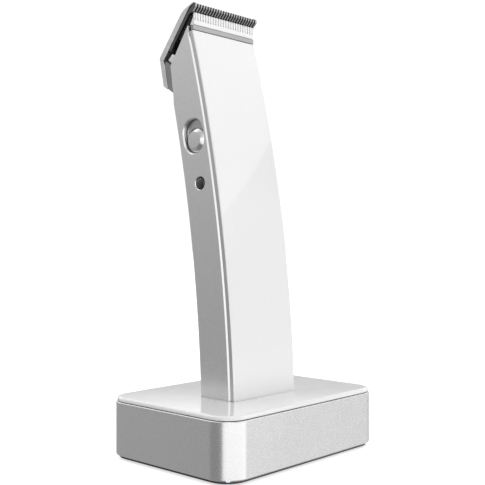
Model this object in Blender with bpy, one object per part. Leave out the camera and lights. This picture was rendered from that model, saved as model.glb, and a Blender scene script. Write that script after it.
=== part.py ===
"""Cordless pet clipper standing in its charging dock, as separate solids.

Metres, +Z up. The origin is on the floor under the centre of the dock, the dock's front is -Y and the
clipper's switch is on its -X side. The clipper leans back (+Y) along one large arc.
"""

import math

import bmesh
import bpy
from mathutils import Matrix, Vector

# Dock.
DOCK_WIDTH, DOCK_DEPTH, DOCK_TOP = 0.0900, 0.0660, 0.0240
DOCK_CORNER = 0.0095
SHELL_BOTTOM, SHELL_TOP, SHELL_WALL = 0.0015, 0.0222, 0.0020
SOCKET_FLOOR, SOCKET_WALL = 0.0094, 0.0012
SLOT_WIDTH, SLOT_DEPTH, SLOT_Y = 0.0373, 0.01805, -0.0045
WELL_WIDTH, WELL_DEPTH, WELL_Y = 0.0377, 0.0200, -0.0052
FOOT_RADIUS, FOOT_X, FOOT_Y = 0.0040, 0.0365, 0.0245
SCREW_X, SCREW_Y = 0.0270, 0.0245
PIN_SPACING = 0.0120

# Clipper handle: a bar of constant section bent to one arc.
HANDLE_X = -0.00315
HANDLE_WIDTH, HANDLE_BACK, HANDLE_FRONT = 0.0368, 0.00925, -0.0082
BEND_RADIUS = 0.600
TILT_AT_DOCK = math.radians(2.1)
SPINE_Y = -0.0050
WALL = 0.0016
RIM = -0.0063
INSERTED = 0.0124
BACK_LINE = [(0.0202, 0.1188), (0.0219, 0.1304)]
MOUTH_FRONT = (0.01155, 0.1454)

# Cutting head, in its own frame: p runs down the blade plane, q out of its back.
BLADE_ORIGIN = (0.0115, 0.14975)
BLADE_SLOPE = math.radians(51.5)
HEAD_PIVOT = (0.01975, 0.1200)
TOOTH_PITCH, TEETH = 0.00145, 24
BLADE_WIDTH, CERAMIC_WIDTH = 0.0360, 0.0344
BLADE_SCREW_AT = 0.0145

# Drive.
MOTOR_LOW, MOTOR_HIGH, MOTOR_RADIUS = 0.068, 0.092, 0.0060
LEVER_PIVOT, CRANK_OFFSET = 0.117, 0.00034
DRIVE_PIN_AT = 0.0125

# Left side controls, by arc length above the dock.
SWITCH_AT, SWITCH_N = 0.1026, 0.0010
LAMP_AT, LAMP_N = 0.0836, 0.0009

GAP = 0.0003
# Edges that turn by more than this, in radians, are the ones that bevel() rounds.
CORNER = 0.3


def clear_scene():
    for old in list(bpy.data.objects):
        bpy.data.objects.remove(old, do_unlink=True)


clear_scene()
PARTS = bpy.data.collections.new("pet_clipper")
CUTTERS = bpy.data.collections.new("cutters")
bpy.context.scene.collection.children.link(PARTS)
bpy.context.scene.collection.children.link(CUTTERS)

FINISHES = {
    "silver": ((0.60, 0.60, 0.61), 0.34, 0.90),
    "white": ((0.88, 0.88, 0.88), 0.14, 0.0),
    "ceramic": ((0.93, 0.93, 0.92), 0.22, 0.0),
    "steel": ((0.34, 0.34, 0.35), 0.26, 1.0),
    "bright_steel": ((0.62, 0.62, 0.63), 0.25, 1.0),
    "black": ((0.015, 0.015, 0.016), 0.45, 0.0),
    "dark": ((0.10, 0.10, 0.105), 0.55, 0.0),
    "grey": ((0.30, 0.30, 0.31), 0.45, 0.0),
    "rubber": ((0.03, 0.03, 0.03), 0.85, 0.0),
    "board": ((0.03, 0.16, 0.08), 0.50, 0.0),
    "brass": ((0.80, 0.62, 0.28), 0.30, 1.0),
    "cell": ((0.10, 0.22, 0.16), 0.40, 0.0),
    "lens": ((0.012, 0.012, 0.013), 0.08, 0.0),
}


# Frames and points ---------------------------------------------------------------------------------


def above_dock(y, height):
    return (y, DOCK_TOP + height)


def spine(s):
    """Handle's centre line at arc length s above the dock: y, z and tilt."""
    tilt = TILT_AT_DOCK + s / BEND_RADIUS
    y = SPINE_Y + BEND_RADIUS * (math.cos(TILT_AT_DOCK) - math.cos(tilt))
    z = DOCK_TOP + BEND_RADIUS * (math.sin(tilt) - math.sin(TILT_AT_DOCK))
    return y, z, tilt


def handle_point(s, n):
    """(y, z) at arc length s and n behind the centre line."""
    y, z, tilt = spine(s)
    return (y + n * math.cos(tilt), z - n * math.sin(tilt))


def handle_frame(s, n=0.0, x=0.0):
    """Frame on the handle: X across, Y out of its back, Z up along it."""
    y, z = handle_point(s, n)
    return Matrix.Translation((HANDLE_X + x, y, z)) @ Matrix.Rotation(-spine(s)[2], 4, "X")


def along_handle(low, length, n=0.0, x=0.0):
    """Frame for a straight piece of some length, laid as a chord of the arc from low upwards."""
    middle = handle_frame(low + length / 2, n, x)
    return middle @ Matrix.Translation((0, 0, -length / 2))


def handle_arc(n, low, high, steps=16):
    return [handle_point(low + (high - low) * i / steps, n) for i in range(steps + 1)]


def arc_length_at(n, height):
    """Arc length where the line n behind the centre reaches a height above the dock."""
    low, high = -0.05, 0.20
    for _ in range(40):
        middle = (low + high) / 2
        if handle_point(middle, n)[1] < DOCK_TOP + height:
            low = middle
        else:
            high = middle
    return low


def blade_point(p, q):
    """(y, z) in the head's own frame: p down the blade plane, q out of its back."""
    y = BLADE_ORIGIN[0] + p * math.cos(BLADE_SLOPE) + q * math.sin(BLADE_SLOPE)
    z = DOCK_TOP + BLADE_ORIGIN[1] - p * math.sin(BLADE_SLOPE) + q * math.cos(BLADE_SLOPE)
    return (y, z)


def blade_frame(p, q, x=0.0):
    """Frame on the blade plane: X across, Y down the plane, Z out of the head's back."""
    y, z = blade_point(p, q)
    turn = Matrix.Rotation(-BLADE_SLOPE, 4, "X")
    return Matrix.Translation((HANDLE_X + x, y, z)) @ turn


# Maps an outline's (first, second) coordinates to (Y, Z), with its thickness along X.
ALONG_X = Matrix(((0, 0, 1, 0), (1, 0, 0, 0), (0, 1, 0, 0), (0, 0, 0, 1)))


# Objects -------------------------------------------------------------------------------------------


def finish(name, kind):
    colour, roughness, metallic = FINISHES[kind]
    material = bpy.data.materials.new(name + "_" + kind)
    material.use_nodes = True
    surface = material.node_tree.nodes["Principled BSDF"]
    surface.inputs["Base Color"].default_value = (*colour, 1.0)
    surface.inputs["Roughness"].default_value = roughness
    surface.inputs["Metallic"].default_value = metallic
    return material


def add_part(name, mesh, kind, place=Matrix.Identity(4), carrier=None):
    mesh.name = name
    obj = bpy.data.objects.new(name, mesh)
    PARTS.objects.link(obj)
    mesh.materials.append(finish(name, kind))
    mesh.shade_smooth()
    mesh.set_sharp_from_angle(angle=math.radians(32))
    obj.matrix_basis = place
    if carrier:
        obj.parent = carrier
        obj.matrix_parent_inverse = carrier.matrix_basis.inverted()
    return obj


def add_helper(name, mesh, place=Matrix.Identity(4)):
    """A solid that only cuts or joins others."""
    obj = bpy.data.objects.new(name, mesh)
    CUTTERS.objects.link(obj)
    obj.matrix_basis = place
    obj.hide_render = True
    obj.display_type = "WIRE"
    return obj


def add_axis(name, place):
    empty = bpy.data.objects.new(name, None)
    PARTS.objects.link(empty)
    empty.matrix_basis = place
    return empty


def combine(obj, operation, mesh, place=Matrix.Identity(4)):
    helper = add_helper(f"{obj.name}_{operation.lower()}_{len(obj.modifiers)}", mesh, place)
    step = obj.modifiers.new(helper.name, "BOOLEAN")
    step.operation = operation
    step.solver = "EXACT"
    step.object = helper


def cut(obj, mesh, place=Matrix.Identity(4)):
    combine(obj, "DIFFERENCE", mesh, place)


def join(obj, mesh, place=Matrix.Identity(4)):
    combine(obj, "UNION", mesh, place)


def box(size, low_z=False):
    """A box on its centre, or standing on its own XY plane."""
    shape = bmesh.new()
    lift = size[2] / 2 if low_z else 0.0
    place = Matrix.Translation((0, 0, lift)) @ Matrix.Diagonal((*size, 1))
    bmesh.ops.create_cube(shape, size=1.0, matrix=place)
    return to_mesh(shape)


def cylinder(radius, height, sides=24, top_radius=None):
    """A cylinder or cone standing on its own XY plane."""
    shape = bmesh.new()
    bmesh.ops.create_cone(
        shape,
        cap_ends=True,
        segments=sides,
        radius1=radius,
        radius2=radius if top_radius is None else top_radius,
        depth=height,
        matrix=Matrix.Translation((0, 0, height / 2)),
    )
    return to_mesh(shape)


def to_mesh(shape):
    mesh = bpy.data.meshes.new("shape")
    shape.to_mesh(mesh)
    shape.free()
    return mesh


def prism(loops, thickness, place=Matrix.Identity(4)):
    """A flat outline, with any holes, extruded half its thickness to each side, then placed."""
    curve = bpy.data.curves.new("outline", "CURVE")
    curve.dimensions = "2D"
    curve.fill_mode = "BOTH"
    curve.extrude = thickness / 2
    for loop in loops:
        spline = curve.splines.new("POLY")
        spline.points.add(len(loop) - 1)
        for point, (u, v) in zip(spline.points, loop):
            point.co = (u, v, 0, 1)
        spline.use_cyclic_u = True
    guide = bpy.data.objects.new("outline", curve)
    CUTTERS.objects.link(guide)
    evaluated = guide.evaluated_get(bpy.context.evaluated_depsgraph_get())
    mesh = bpy.data.meshes.new_from_object(evaluated)
    bpy.data.objects.remove(guide, do_unlink=True)
    shape = bmesh.new()
    shape.from_mesh(mesh)
    bmesh.ops.remove_doubles(shape, verts=shape.verts, dist=1e-6)
    bmesh.ops.dissolve_limit(
        shape, angle_limit=math.radians(0.02), verts=shape.verts, edges=shape.edges
    )
    bmesh.ops.recalc_face_normals(shape, faces=shape.faces)
    bmesh.ops.transform(shape, matrix=place, verts=shape.verts)
    return to_mesh(shape)


def across(loops, width, x=0.0):
    """A (y, z) outline extruded across the handle."""
    return prism(loops, width, Matrix.Translation((HANDLE_X + x, 0, 0)) @ ALONG_X)


def upright(loops, low, high):
    """An (x, y) outline extruded from one height to another."""
    return prism(loops, high - low, Matrix.Translation((0, 0, (low + high) / 2)))


def rounded_rectangle(width, depth, radius, centre=(0.0, 0.0), steps=6):
    points = []
    for corner in range(4):
        turn = corner * math.pi / 2
        right = 1 if corner in (0, 3) else -1
        back = 1 if corner in (0, 1) else -1
        middle_x = centre[0] + right * (width / 2 - radius)
        middle_y = centre[1] + back * (depth / 2 - radius)
        for i in range(steps + 1):
            angle = turn + math.pi / 2 * i / steps
            points.append(
                (middle_x + radius * math.cos(angle), middle_y + radius * math.sin(angle))
            )
    return points


def oval(width, height, steps=14):
    """Two half circles joined by straights along its second coordinate."""
    radius, rise = width / 2, (height - width) / 2
    ends = [(0.0, rise), (math.pi, -rise)] if rise > 0 else [(0.0, 0.0), (math.pi, 0.0)]
    points = []
    for start, lift in ends:
        for i in range(steps + 1 if rise > 0 else steps):
            angle = start + math.pi * i / steps
            points.append((radius * math.cos(angle), lift + radius * math.sin(angle)))
    return points


def circle(radius, centre=(0.0, 0.0), steps=20):
    return [
        (
            centre[0] + radius * math.cos(2 * math.pi * i / steps),
            centre[1] + radius * math.sin(2 * math.pi * i / steps),
        )
        for i in range(steps)
    ]


def bevel(mesh, chosen, width, segments=3):
    """Rounds the real corners for which chosen(first end, second end) holds."""
    shape = bmesh.new()
    shape.from_mesh(mesh)
    edges = [
        e
        for e in shape.edges
        if e.calc_face_angle(0.0) > CORNER and chosen(e.verts[0].co, e.verts[1].co)
    ]
    bmesh.ops.bevel(
        shape,
        geom=edges,
        offset=width,
        offset_type="OFFSET",
        segments=segments,
        profile=0.5,
        affect="EDGES",
        clamp_overlap=False,
    )
    shape.to_mesh(mesh)
    shape.free()
    return mesh


def level_edges(height):
    """Chooses edges lying at one height."""
    return lambda a, b: abs(a.z - height) < 1e-6 and abs(b.z - height) < 1e-6


# Dock ----------------------------------------------------------------------------------------------


def dock_shell():
    outer = rounded_rectangle(DOCK_WIDTH, DOCK_DEPTH, DOCK_CORNER, steps=8)
    inner = rounded_rectangle(
        DOCK_WIDTH - 2 * SHELL_WALL,
        DOCK_DEPTH - 2 * SHELL_WALL,
        DOCK_CORNER - SHELL_WALL,
        steps=8,
    )
    mesh = upright([outer, inner], SHELL_BOTTOM, SHELL_TOP)
    mesh = bevel(mesh, level_edges(SHELL_BOTTOM), 0.0005, 2)
    shell = add_part("dock_shell", mesh, "silver")
    cut(shell, box((0.0100, 0.0080, 0.0108)), Matrix.Translation((0, DOCK_DEPTH / 2, 0.0105)))


def dock_top_plate():
    centre = (HANDLE_X, SLOT_Y)
    outer = rounded_rectangle(DOCK_WIDTH - 0.0010, DOCK_DEPTH - 0.0010, 0.0090, steps=8)
    slot = rounded_rectangle(SLOT_WIDTH, SLOT_DEPTH, 0.0006, centre, steps=3)
    mesh = upright([outer, slot], SHELL_TOP + GAP, DOCK_TOP)

    def outer_top(a, b):
        on_top = level_edges(DOCK_TOP)(a, b)
        return on_top and max(abs(a.x), abs(a.y) + 0.012) > 0.035

    plate = add_part("dock_top_plate", bevel(mesh, outer_top, 0.0012, 3), "white")
    for x in (-SCREW_X, SCREW_X):
        for y in (-SCREW_Y, SCREW_Y):
            post = Matrix.Translation((x, y, 0.0062))
            join(plate, cylinder(0.0030, 0.0168), post)
            cut(plate, cylinder(0.0014, 0.0120, 12), Matrix.Translation((x, y, 0.0050)))


def socket_well():
    place = Matrix.Translation((HANDLE_X, WELL_Y, SOCKET_FLOOR - SOCKET_WALL))
    height = SHELL_TOP - SOCKET_FLOOR + SOCKET_WALL
    outer = box((WELL_WIDTH + 2 * SOCKET_WALL, WELL_DEPTH + 2 * SOCKET_WALL, height), low_z=True)
    well = add_part("socket_well", outer, "white", place)
    cut(
        well,
        box((WELL_WIDTH, WELL_DEPTH, height), low_z=True),
        Matrix.Translation((HANDLE_X, WELL_Y, SOCKET_FLOOR)),
    )
    for side in (-1, 1):
        hole = Matrix.Translation((HANDLE_X + side * PIN_SPACING / 2, SPINE_Y, 0.0070))
        cut(well, cylinder(0.0013, 0.0050, 16), hole)


def dock_base_plate():
    flange = rounded_rectangle(DOCK_WIDTH - 0.0028, DOCK_DEPTH - 0.0028, 0.0081, steps=8)
    plug = rounded_rectangle(DOCK_WIDTH - 0.0048, DOCK_DEPTH - 0.0048, 0.0071, steps=8)
    base = add_part("dock_base_plate", upright([flange], 0.0005, 0.0012), "dark")
    join(base, upright([plug], 0.0009, 0.0030))
    for x in (-1, 1):
        for y in (-1, 1):
            foot = Matrix.Translation((x * FOOT_X, y * FOOT_Y, 0.0))
            cut(base, cylinder(FOOT_RADIUS + GAP, 0.0012), foot)
            screw = Matrix.Translation((x * SCREW_X, y * SCREW_Y, 0.0))
            cut(base, cylinder(0.0030, 0.0018, 20), screw)
            cut(base, cylinder(0.0014, 0.0050, 12), screw)


def dock_feet_and_screws():
    for back, y in (("front", -1), ("back", 1)):
        for side, x in (("left", -1), ("right", 1)):
            pad = bevel(cylinder(FOOT_RADIUS, 0.0009), level_edges(0.0), 0.0002, 1)
            place = Matrix.Translation((x * FOOT_X, y * FOOT_Y, 0.0))
            add_part(f"foot_{back}_{side}", pad, "rubber", place)
            place = Matrix.Translation((x * SCREW_X, y * SCREW_Y, 0.0006))
            screw = add_part(
                f"dock_screw_{back}_{side}", cylinder(0.0025, 0.0009, 20), "bright_steel", place
            )
            join(screw, cylinder(0.0011, 0.0110, 12), place)


def charge_board():
    board = box((0.0460, 0.0500, 0.0016), low_z=True)
    add_part("charge_board", board, "board", Matrix.Translation((0.0, 0.0045, 0.0033)))


def dc_jack():
    place = Matrix.Translation((0.0, 0.0258, 0.0053))
    jack = add_part("dc_jack", box((0.0090, 0.0135, 0.0104), low_z=True), "black", place)
    mouth = Matrix.Translation((0.0, 0.0340, 0.0105)) @ Matrix.Rotation(math.pi / 2, 4, "X")
    cut(jack, cylinder(0.0030, 0.0110, 24), mouth)
    pin = Matrix.Translation((0.0, 0.0315, 0.0105)) @ Matrix.Rotation(math.pi / 2, 4, "X")
    join(jack, cylinder(0.0010, 0.0100, 16), pin)


def charge_pins():
    for side, x in (("left", -1), ("right", 1)):
        x = HANDLE_X + x * PIN_SPACING / 2
        barrel = add_part(
            f"pin_barrel_{side}",
            cylinder(0.0020, 0.0024, 20),
            "brass",
            Matrix.Translation((x, SPINE_Y, 0.0052)),
        )
        cut(barrel, cylinder(0.0013, 0.0030, 16), Matrix.Translation((x, SPINE_Y, 0.0055)))
        axis = add_axis(f"charge_pin_{side}_axis", Matrix.Translation((x, SPINE_Y, 0.0099)))
        pin = cylinder(0.0009, 0.0027, 16)
        pin = bevel(pin, level_edges(0.0027), 0.0004, 2)
        place = Matrix.Translation((x, SPINE_Y, 0.0072))
        add_part(f"charge_pin_{side}", pin, "brass", place, axis)


# Handle --------------------------------------------------------------------------------------------


def handle_side(low):
    """Side outline of the rear casing: up the back arc, over the slanted mouth, down the rim."""
    back_top = arc_length_at(HANDLE_BACK, 0.1150)
    rim_top = arc_length_at(RIM, MOUTH_FRONT[1] - 0.0006)
    outline = handle_arc(HANDLE_BACK, low, back_top)
    outline += [above_dock(*point) for point in BACK_LINE]
    outline.append(above_dock(*MOUTH_FRONT))
    outline += reversed(handle_arc(RIM, low, rim_top))
    return outline


def rear_casing(carrier):
    half = HANDLE_WIDTH / 2
    mesh = across([handle_side(-INSERTED)], HANDLE_WIDTH)

    def long_edge(a, b, front):
        same_side = abs(a.x - b.x) < 1e-6 and abs(abs(a.x - HANDLE_X) - half) < 1e-6
        low_enough = max(a.z, b.z) < DOCK_TOP + MOUTH_FRONT[1] - 0.0002
        if not (same_side and low_enough and abs(a.z - b.z) > 0.002):
            return False
        height = (a.z + b.z) / 2 - DOCK_TOP
        middle = handle_point(arc_length_at(0.0, height), 0.0)[0]
        is_front = (a.y + b.y) / 2 < middle
        mouth = max(a.z, b.z) > DOCK_TOP + 0.1310
        return is_front if front else not is_front and not mouth

    mesh = bevel(mesh, lambda a, b: long_edge(a, b, False), 0.0005, 2)
    mesh = bevel(mesh, lambda a, b: long_edge(a, b, True), 0.0006, 1)
    casing = add_part("rear_casing", mesh, "silver", carrier=carrier)
    inner_top = arc_length_at(HANDLE_BACK - WALL, 0.1130)
    hollow = handle_arc(HANDLE_BACK - WALL, -INSERTED - 0.004, inner_top, 12)
    hollow += [above_dock(0.0186, 0.1188), above_dock(0.0206, 0.1340)]
    hollow += [above_dock(0.0100, 0.1600)]
    hollow += reversed(handle_arc(RIM - 0.0030, -INSERTED - 0.004, 0.150, 4))
    cut(casing, across([hollow], HANDLE_WIDTH - 2 * WALL))
    left = -HANDLE_WIDTH / 2
    window = prism([oval(0.0106, 0.0142)], 0.006, ALONG_X)
    cut(casing, window, handle_frame(SWITCH_AT, SWITCH_N, left))
    hole = prism([circle(0.0025)], 0.006, ALONG_X)
    cut(casing, hole, handle_frame(LAMP_AT, LAMP_N, left))
    y, z = above_dock(*HEAD_PIVOT)
    cut(casing, box((0.0298, 0.0080, 0.0038)), Matrix.Translation((HANDLE_X, y + 0.0005, z)))


def front_panel(carrier):
    front, back = HANDLE_FRONT, RIM - 0.0004
    top = arc_length_at(front, 0.1434)
    bar = handle_arc(front, -INSERTED, top) + list(reversed(handle_arc(back, -INSERTED, top)))
    width = HANDLE_WIDTH - 0.0010
    mesh = across([bar], width)

    def front_edge(a, b):
        same_side = abs(a.x - b.x) < 1e-6 and abs(abs(a.x - HANDLE_X) - width / 2) < 1e-6
        height = (a.z + b.z) / 2 - DOCK_TOP
        middle = handle_point(arc_length_at(front, height), (front + back) / 2)[0]
        return same_side and abs(a.z - b.z) > 0.003 and (a.y + b.y) / 2 < middle

    panel = add_part("front_panel", bevel(mesh, front_edge, 0.0003, 2), "white", carrier=carrier)
    inner = handle_arc(back - 0.0008, -INSERTED + 0.0002, top - 0.0010, 12)
    inner += reversed(handle_arc(RIM - 0.0002, -INSERTED + 0.0002, top - 0.0010, 12))
    join(panel, across([inner], HANDLE_WIDTH - 2 * WALL - 2 * GAP))


def top_bezel(carrier):
    outline = [(0.0093, 0.1453), (0.0088, 0.1438), (0.0104, 0.1434), (0.0106, 0.1450)]
    points = [above_dock(*point) for point in outline]
    add_part("top_bezel", across([points], 0.0353), "silver", carrier=carrier)


def end_cap(carrier):
    depth, middle = HANDLE_BACK - HANDLE_FRONT - 0.0006, (HANDLE_BACK + HANDLE_FRONT) / 2
    place = handle_frame(-0.0138, middle)
    cap = box((HANDLE_WIDTH - 0.0006, depth, 0.0011), low_z=True)
    cap = bevel(cap, lambda a, b: abs(a.z - b.z) > 0.0005, 0.0015, 3)
    part = add_part("end_cap", cap, "white", place, carrier)
    plug = box((HANDLE_WIDTH - 2 * WALL - 0.0006, 0.0128, 0.0038), low_z=True)
    join(part, plug, handle_frame(-0.0132, 0.0008))
    for side in (-1, 1):
        spot = handle_frame(-0.0145, 0.0, side * PIN_SPACING / 2)
        cut(part, box((0.0056, 0.0046, 0.0014), low_z=True), spot)
    for name, side in (("left", -1), ("right", 1)):
        spot = handle_frame(-0.0138, 0.0, side * PIN_SPACING / 2)
        plate = box((0.0050, 0.0040, 0.0004), low_z=True)
        add_part(f"charge_contact_{name}", plate, "brass", spot, carrier)


def inner_chassis(carrier):
    low, high = -0.0060, 0.0940
    plate = handle_arc(0.0074, low, high, 12) + list(reversed(handle_arc(0.0062, low, high, 12)))
    width = HANDLE_WIDTH - 2 * WALL - 2 * GAP
    chassis = add_part("inner_chassis", across([plate], width), "dark", carrier=carrier)
    for s in (0.0066, 0.0575):
        rib = box((width, 0.0114, 0.0014), low_z=True)
        join(chassis, rib, handle_frame(s, 0.0009))
    for x in (-1, 1):
        cheek = box((0.0014, 0.0100, 0.0200), low_z=True)
        join(chassis, cheek, handle_frame(0.0700, 0.0016, x * (MOTOR_RADIUS + 0.0011)))


def battery(carrier):
    for name, side in (("left", -1), ("right", 1)):
        place = along_handle(0.0098, 0.0435, 0.0005, side * 0.0056)
        cell = bevel(cylinder(0.00525, 0.0435, 24), level_edges(0.0435), 0.0006, 1)
        cell = add_part(f"battery_cell_{name}", cell, "cell", place, carrier)
        join(cell, cylinder(0.0019, 0.0446, 16), place)
    top = handle_frame(0.0550, 0.0003)
    add_part("battery_strap", box((0.0160, 0.0040, 0.0003)), "bright_steel", top, carrier)


def motor(carrier):
    place = along_handle(MOTOR_LOW, MOTOR_HIGH - MOTOR_LOW, -0.0001)
    can = bevel(
        cylinder(MOTOR_RADIUS, MOTOR_HIGH - MOTOR_LOW, 28),
        level_edges(MOTOR_HIGH - MOTOR_LOW),
        0.0006,
        1,
    )
    can = add_part("motor", can, "bright_steel", place, carrier)
    join(can, cylinder(0.0025, MOTOR_HIGH - MOTOR_LOW + 0.0012, 20), place)
    bore = place @ Matrix.Translation((0, 0, 0.0190))
    cut(can, cylinder(0.00105, 0.0100, 16), bore)


def eccentric(carrier):
    place = along_handle(MOTOR_LOW, MOTOR_HIGH - MOTOR_LOW, -0.0001)
    axis = add_axis("eccentric_axis", place)
    axis.parent = carrier
    axis.matrix_parent_inverse = carrier.matrix_basis.inverted()
    shaft = place @ Matrix.Translation((0, 0, 0.0195))
    add_part("motor_shaft", cylinder(0.00075, 0.0095, 16), "bright_steel", shaft, axis)
    disc = place @ Matrix.Translation((0, 0, 0.0258))
    cam = add_part("eccentric_cam", cylinder(0.0032, 0.0046, 24), "white", disc, axis)
    cut(cam, cylinder(0.00105, 0.0060, 16), disc @ Matrix.Translation((0, 0, -0.0025)))
    crank = disc @ Matrix.Translation((CRANK_OFFSET, 0, 0.0042))
    join(cam, cylinder(0.0007, 0.0070, 16), crank)


def drive_lever(carrier):
    pivot = handle_frame(LEVER_PIVOT)
    axis = add_axis("drive_lever_axis", pivot)
    axis.parent = carrier
    axis.matrix_parent_inverse = carrier.matrix_basis.inverted()
    top, fork = 0.0220, -0.0140
    half = 0.0030
    fork_gap = CRANK_OFFSET + 0.0012
    slot_top = fork + 0.0062
    arm = [(-half, fork), (-fork_gap, fork), (-fork_gap, slot_top), (fork_gap, slot_top)]
    arm += [(fork_gap, fork), (half, fork), (half, 0.0030), (0.0020, top), (-0.0020, top)]
    arm += [(-half, 0.0030)]
    stand = Matrix.Rotation(math.pi / 2, 4, "X")
    lever = prism([arm, circle(0.0013, steps=16)], 0.0030, stand)
    lever = add_part("drive_lever", lever, "white", pivot, axis)
    end = blade_frame(DRIVE_PIN_AT, -0.0005)
    join(lever, cylinder(0.0008, 0.0060, 16), end @ Matrix.Translation((0, 0, -0.0060)))
    pin = pivot @ Matrix.Rotation(math.pi / 2, 4, "X") @ Matrix.Translation((0, 0, -0.0063))
    add_part("lever_pivot_pin", cylinder(0.0010, 0.0094, 16), "bright_steel", pin, carrier)


def controls(carrier):
    left = -HANDLE_WIDTH / 2
    board = box((0.0012, 0.0105, 0.0440))
    place = handle_frame(0.0935, -0.0004, left + 0.0044)
    add_part("control_board", board, "board", place, carrier)
    tray = prism([oval(0.0118, 0.0156), rounded_rectangle(0.0032, 0.0066, 0.0002)], 0.0008, ALONG_X)
    place = handle_frame(SWITCH_AT, SWITCH_N, left + WALL + GAP + 0.0004)
    add_part("switch_tray", tray, "silver", place, carrier)
    rest = handle_frame(SWITCH_AT, SWITCH_N, left) @ Matrix.Translation((0, 0, -0.0016))
    axis = add_axis("switch_axis", rest)
    axis.parent = carrier
    axis.matrix_parent_inverse = carrier.matrix_basis.inverted()
    cap = prism([oval(0.0098, 0.0098)], 0.0015, ALONG_X)
    cap = bevel(cap, lambda a, b: max(a.x, b.x) < -0.0007, 0.0011, 3)
    place = rest @ Matrix.Translation((0.00085, 0, 0))
    button = add_part("switch_button", cap, "silver", place, axis)
    stem = rest @ Matrix.Translation((0.0021, 0, 0))
    join(button, box((0.0018, 0.0024, 0.0024)), stem)
    lens = prism([circle(0.0022)], 0.0026, ALONG_X)
    lens = bevel(lens, lambda a, b: max(a.x, b.x) < -0.0012, 0.0004, 2)
    place = handle_frame(LAMP_AT, LAMP_N, left + 0.0012)
    add_part("indicator_lens", lens, "lens", place, carrier)
    lamp = prism([circle(0.0014, steps=16)], 0.0007, ALONG_X)
    place = handle_frame(LAMP_AT, LAMP_N, left + 0.0032)
    add_part("indicator_lamp", lamp, "white", place, carrier)


def hinge(carrier):
    y, z = above_dock(*HEAD_PIVOT)
    plate = [(0.0162, 0.1090), (0.0150, 0.1090), (0.0168, 0.1220), (0.0180, 0.1220)]
    plate = [above_dock(*point) for point in plate]
    bracket = add_part("hinge_bracket", across([plate], 0.0300), "dark", carrier=carrier)
    for side in (-1, 1):
        ear = [(0.0170, 0.1185), (0.0198, 0.1185), (0.0211, 0.1195), (0.0211, 0.1207)]
        ear += [(0.0198, 0.1216), (0.0176, 0.1216)]
        ear = [above_dock(*point) for point in ear]
        join(bracket, across([ear], 0.0020, side * 0.0130))
    cut(bracket, across([circle(0.00085, (y, z), 16)], 0.0320))
    seat = handle_frame(LEVER_PIVOT, 0.0090) @ Matrix.Rotation(math.pi / 2, 4, "X")
    cut(bracket, cylinder(0.0013, 0.0080, 16), seat)
    pin = across([circle(0.00055, (y, z), 16)], 0.0290)
    add_part("head_hinge_pin", pin, "bright_steel", carrier=carrier)


# Cutting head --------------------------------------------------------------------------------------


def comb_outline(width, tip, root, end, slot, mouth, relief=0.0):
    """Comb seen face on: teeth towards +v, slots every pitch that widen from slot at the root to
    mouth at the tip, with round reliefs at their roots."""
    half = width / 2
    points = [(half, end), (half, tip)]
    for i in range(TEETH):
        middle = half - (width - TOOTH_PITCH * (TEETH - 1)) / 2 - TOOTH_PITCH * i
        bottom = [(middle + slot / 2, root), (middle - slot / 2, root)]
        if relief:
            bottom = [
                (middle + relief * math.sin(a), root + relief * (math.cos(a) - 1))
                for a in (math.radians(t) for t in (35, 90, 145, 215, 270, 325))
            ]
        points += [(middle + mouth / 2, tip), *bottom, (middle - mouth / 2, tip)]
    return points + [(-half, tip), (-half, end)]


def fixed_blade(head):
    teeth = [(0.0083, 0.15372), (0.0080, 0.15378), (0.0076, 0.1533), (0.0077, 0.1523)]
    teeth += [(0.0093, 0.1507)]
    plate = [(0.0, 0.0), (0.0168, 0.0), (0.0168, 0.0012), (0.0, 0.0012), (-0.0020, 0.0009)]
    section = [above_dock(*point) for point in teeth] + [blade_point(p, q) for p, q in plate]
    blade = add_part("fixed_blade", across([section], BLADE_WIDTH), "steel", carrier=head)
    outline = comb_outline(BLADE_WIDTH + 0.0010, 0.0080, -0.0005, -0.0200, 0.0006, 0.0010)
    flat = prism([outline], 0.0100, Matrix.Rotation(math.pi, 4, "Z"))
    combine(blade, "INTERSECT", flat, blade_frame(0.0, 0.0))
    for side in (-1, 1):
        hole = blade_frame(BLADE_SCREW_AT, -0.0010, side * 0.0120)
        cut(blade, cylinder(0.00125, 0.0040, 16), hole)


def blade_cover(head):
    section = [(-0.0036, 0.0016), (-0.0024, 0.00225), (-0.0003, 0.0036), (0.0022, 0.00413)]
    section += [(0.0218, 0.00413), (0.0226, 0.0036), (0.0217, 0.0015)]
    mesh = across([[blade_point(p, q) for p, q in section]], BLADE_WIDTH)
    cover = add_part("blade_cover", mesh, "silver", carrier=head)
    cheek = [(-0.0054, 0.00065), (-0.0047, 0.0011), (-0.00245, 0.00235), (-0.0003, 0.0036)]
    cheek += [(0.0012, 0.0030), (0.0012, 0.0016), (-0.0028, 0.00155), (-0.0052, 0.0003)]
    cheek = [blade_point(p, q) for p, q in cheek]
    for side in (-1, 1):
        join(cover, across([cheek], 0.0011, side * (BLADE_WIDTH / 2 - 0.00055)))
        hole = blade_frame(BLADE_SCREW_AT, 0.0005, side * 0.0120)
        cut(cover, cylinder(0.00125, 0.0028, 16), hole)


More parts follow.
